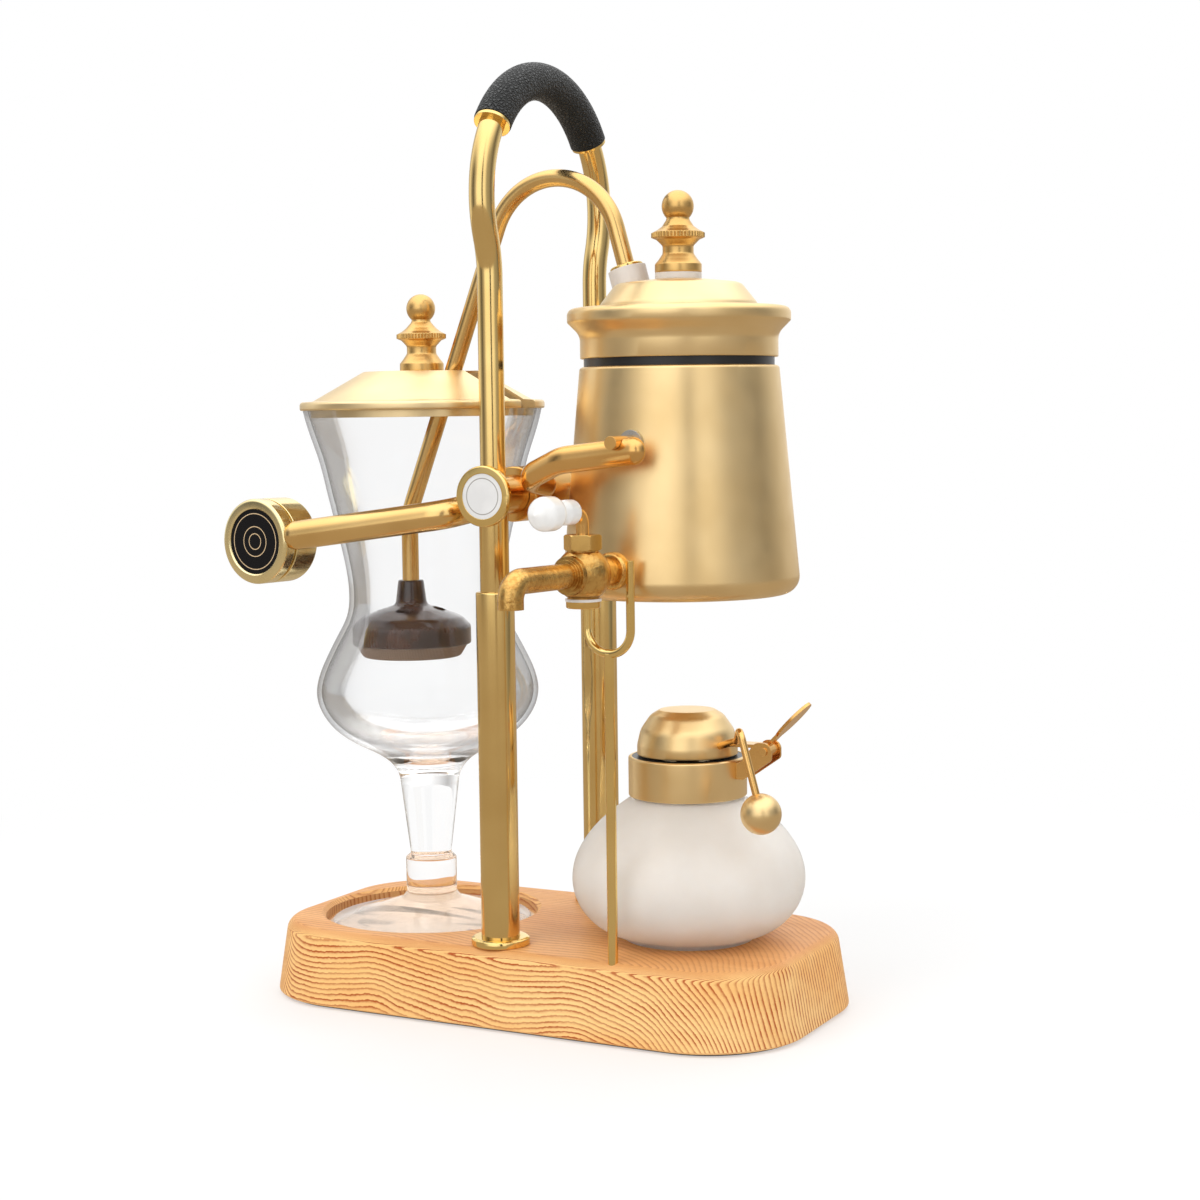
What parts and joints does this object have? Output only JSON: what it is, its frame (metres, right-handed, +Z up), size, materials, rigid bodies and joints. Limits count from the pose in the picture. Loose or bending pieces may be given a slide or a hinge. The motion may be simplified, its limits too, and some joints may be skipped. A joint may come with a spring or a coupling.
{
  "type": "balance siphon coffee maker",
  "caption": "Balance siphon coffee maker: wooden base, arched gold frame, tilting beam with counterweight, metal boiler with tap, glass goblet and spirit burner.",
  "frame": {"origin": "centre of the underside of the rubber sheet, on the table", "axes": "+X from the goblet to the boiler, -Y toward the side the tap faces, +Z up"},
  "size_m": [0.2428, 0.1737, 0.38],
  "materials": {
    "honey_wood": "satin clear coat, dark growth lines",
    "black_rubber": "matt",
    "polished_gold": "polished gold plate",
    "satin_gold": "satin champagne gold on stainless steel",
    "satin_gold_shell": "thin spun shell, satin champagne gold anodising",
    "copper_gold": "bright warm gold, slightly coppery",
    "cast_gold": "lightly rough cast, gold plated",
    "plain_steel": "plain zinc-plated steel",
    "black_leather": "fine black grain",
    "white_inlay": "gloss white",
    "black_plate": "satin black with a fine copper ring line",
    "black_seal": "matt silicone",
    "white_seal": "translucent white silicone",
    "smoked_brown": "glossy, slightly translucent",
    "filter_mesh": "fine woven filter",
    "white_ceramic": "glazed",
    "clear_glass": "clear, fire polished",
    "frosted_glass": "frosted outside",
    "cotton_wick": "braided cotton"
  },
  "bodies": {
    "stand": {"wooden_base": "honey_wood", "anti_slip_sheet": "black_rubber", "column_flanges": "polished_gold", "column_sleeves": "satin_gold", "column_tube_front": "satin_gold", "column_tube_rear": "satin_gold", "column_plugs": "plain_steel", "column_bolts": "plain_steel", "arch_tube": "satin_gold", "handle_grip": "black_leather", "handle_ferrules": "polished_gold", "pivot_housing_front": "copper_gold", "pivot_housing_rear": "copper_gold", "pivot_cap_rings": "polished_gold", "pivot_inlays": "white_inlay", "axle_bushes": "plain_steel", "guide_fork": "polished_gold"},
    "beam": {"axle": "plain_steel", "cross_tube": "copper_gold", "balance_arm": "copper_gold", "fork_tine_front": "copper_gold", "fork_tine_rear": "copper_gold", "counterweight_cap": "polished_gold", "counterweight_drum": "polished_gold", "counterweight_plate": "black_plate"},
    "boiler": {"boiler_pot": "satin_gold_shell", "rim_gasket": "black_seal", "neck_ring": "satin_gold_shell", "boiler_lid": "satin_gold_shell", "tube_stopper": "white_seal", "stopper_washer": "polished_gold", "trunnion_pins": "copper_gold", "trunnion_washers": "plain_steel", "siphon_tube": "copper_gold", "filter_head": "smoked_brown", "filter_screen": "filter_mesh", "tap_flange": "cast_gold", "tap_body": "cast_gold", "tap_bonnet_nut": "polished_gold", "tap_cap_gasket": "white_seal", "tap_bottom_cap": "polished_gold"},
    "fill_plug": {"fill_plug": "satin_gold", "plug_gasket": "white_seal"},
    "tap_lever": {"tap_lever": "copper_gold", "tap_knob": "white_ceramic"},
    "goblet": {"goblet_glass": "clear_glass"},
    "goblet_lid": {"goblet_lid": "satin_gold", "lid_finial": "satin_gold"},
    "burner": {"burner_globe": "frosted_glass", "burner_collar": "satin_gold", "collar_gasket": "black_seal", "wick_holder": "polished_gold", "wick": "cotton_wick", "hinge_bracket": "copper_gold", "hinge_pin": "copper_gold"},
    "snuffer": {"snuffer_cap": "satin_gold", "snuffer_arm": "copper_gold", "snuffer_weight_rod": "copper_gold", "snuffer_weight_ball": "satin_gold"}
  },
  "joints": [
    {"name": "beam_tilt", "type": "hinge", "parent": "stand", "child": "beam", "pos_m": [-0.002, 0, 0.2085], "axis": [0, 1, 0], "range_deg": [0, 18]},
    {"name": "boiler_swing", "type": "hinge", "parent": "beam", "child": "boiler", "pos_m": [0.058, 0, 0.229], "axis": [0, 1, 0], "range_deg": [-18, 0]},
    {"name": "fill_plug_lift", "type": "slide", "parent": "boiler", "child": "fill_plug", "axis": [0, 0, 1], "range_m": [0, 0.02]},
    {"name": "tap_turn", "type": "hinge", "parent": "boiler", "child": "tap_lever", "pos_m": [0.04881, -0.06536, 0.1804], "axis": [0, 0, 1], "range_deg": [-90, 90]},
    {"name": "goblet_lift", "type": "slide", "parent": "stand", "child": "goblet", "axis": [0, 0, 1], "range_m": [0, 0.008]},
    {"name": "lid_lift", "type": "slide", "parent": "goblet", "child": "goblet_lid", "axis": [0, 0, 1], "range_m": [0, 0.03]},
    {"name": "burner_slide", "type": "slide", "parent": "stand", "child": "burner", "axis": [0, 1, 0], "range_m": [0, 0.028]},
    {"name": "snuffer_flip", "type": "hinge", "parent": "burner", "child": "snuffer", "pos_m": [0.0949, 0, 0.108], "axis": [0, 1, 0], "range_deg": [0, 115]}
  ],
  "couplings": [
    {"joint": "boiler_swing", "follows": "beam_tilt", "ratio": -1}
  ]
}
